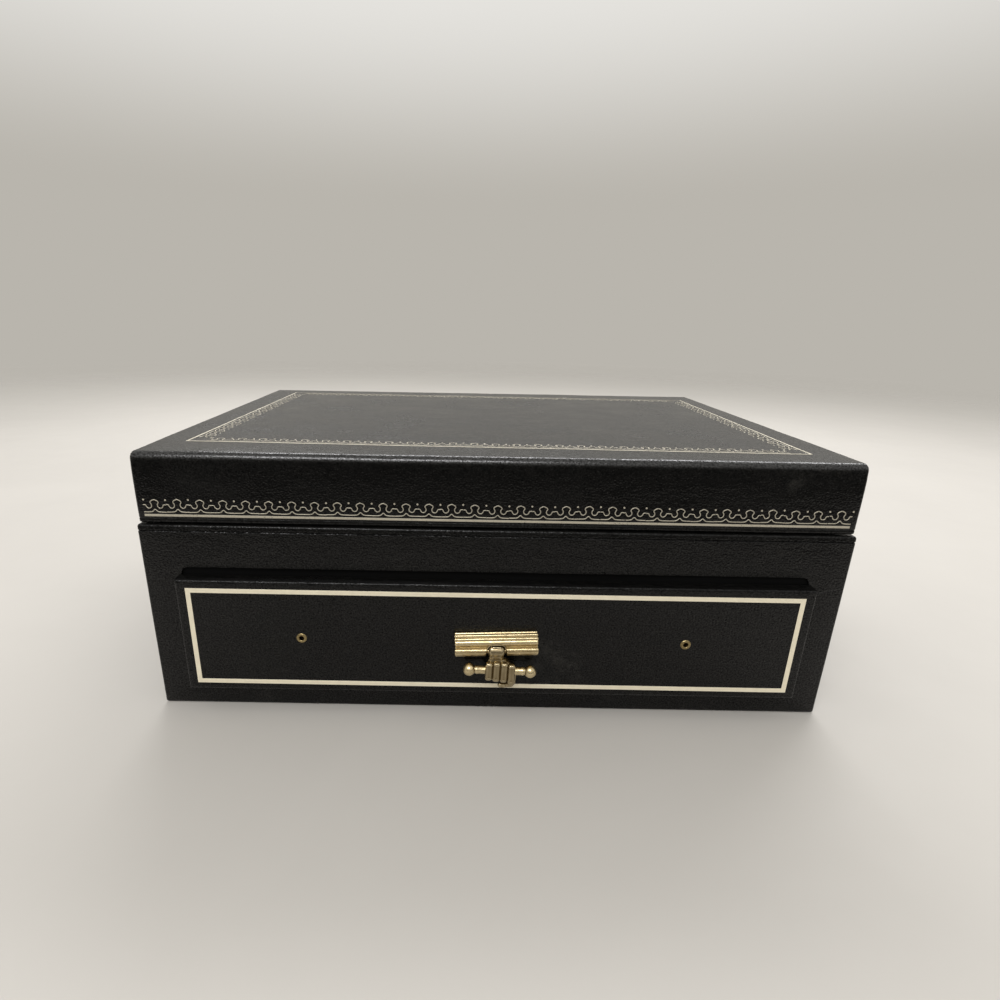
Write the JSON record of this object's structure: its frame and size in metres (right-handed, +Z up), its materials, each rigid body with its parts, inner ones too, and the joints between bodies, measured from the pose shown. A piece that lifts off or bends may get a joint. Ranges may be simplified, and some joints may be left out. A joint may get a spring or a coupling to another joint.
{
  "type": "dresser box",
  "caption": "Black leather dresser box with a hinged lid over a lined well, a drawer with a brass hand pull, and gold tooled borders.",
  "frame": {"origin": "middle of the case's resting face, without the pull and the hinges, on the surface it stands on", "axes": "+X to the viewer's right along the front, +Y from the front to the back, +Z up"},
  "size_m": [0.29, 0.216, 0.1144],
  "materials": {
    "black_leather": "semi-gloss, fine grain",
    "wood": "bare softwood and plywood",
    "lining_velvet": "short pile, matte",
    "padding": "matte",
    "base_felt": "matte felt",
    "cast_brass": "worn satin with a dull patina",
    "hinge_brass": "brushed",
    "gold_foil": "pale gold leaf tooling, rubbed",
    "steel": "zinc plated"
  },
  "bodies": {
    "case": {"case_left_board": "wood", "case_right_board": "wood", "case_front_board": "wood", "case_back_board": "wood", "case_bottom_board": "wood", "case_leather": "black_leather", "base_cover": "base_felt", "compartment_shelf": "wood", "drawer_runner_left": "wood", "drawer_runner_right": "wood", "shelf_bearer_left": "wood", "shelf_bearer_right": "wood", "well_lining": "lining_velvet", "divider_long": "lining_velvet", "divider_cross_left": "lining_velvet", "divider_cross_right": "lining_velvet", "ring_roll_cushion": "lining_velvet", "hinge_left_case_leaf": "hinge_brass", "hinge_right_case_leaf": "hinge_brass", "hinge_left_pin": "hinge_brass", "hinge_right_pin": "hinge_brass", "hinge_case_screws": "hinge_brass"},
    "lid": {"lid_front_board": "wood", "lid_back_board": "wood", "lid_left_board": "wood", "lid_right_board": "wood", "lid_top_board": "wood", "lid_padding": "padding", "lid_leather": "black_leather", "lid_lining": "lining_velvet", "lid_inner_pad": "lining_velvet", "hinge_left_lid_leaf": "hinge_brass", "hinge_right_lid_leaf": "hinge_brass", "hinge_lid_screws": "hinge_brass"},
    "drawer": {"drawer_front_board": "wood", "drawer_front_leather": "black_leather", "drawer_inner_front": "wood", "drawer_left_side": "wood", "drawer_right_side": "wood", "drawer_back": "wood", "drawer_bottom": "wood", "drawer_lining": "lining_velvet", "drawer_rivets": "hinge_brass", "pull_bar": "cast_brass", "pull_screws": "steel", "pull_pin": "cast_brass"},
    "hand": {"pull_hand": "cast_brass", "pull_rod": "cast_brass"}
  },
  "joints": [
    {"name": "lid_hinge", "type": "hinge", "parent": "case", "child": "lid", "pos_m": [0, 0.1007, 0.08495], "axis": [-1, 0, 0], "range_deg": [0, 95]},
    {"name": "drawer_slide", "type": "slide", "parent": "case", "child": "drawer", "axis": [0, -1, 0], "range_m": [0, 0.15]},
    {"name": "hand_swing", "type": "hinge", "parent": "drawer", "child": "hand", "pos_m": [0.00108, -0.1074, 0.0354], "axis": [-0.9991, 0, -0.0419], "range_deg": [0, 95]}
  ]
}
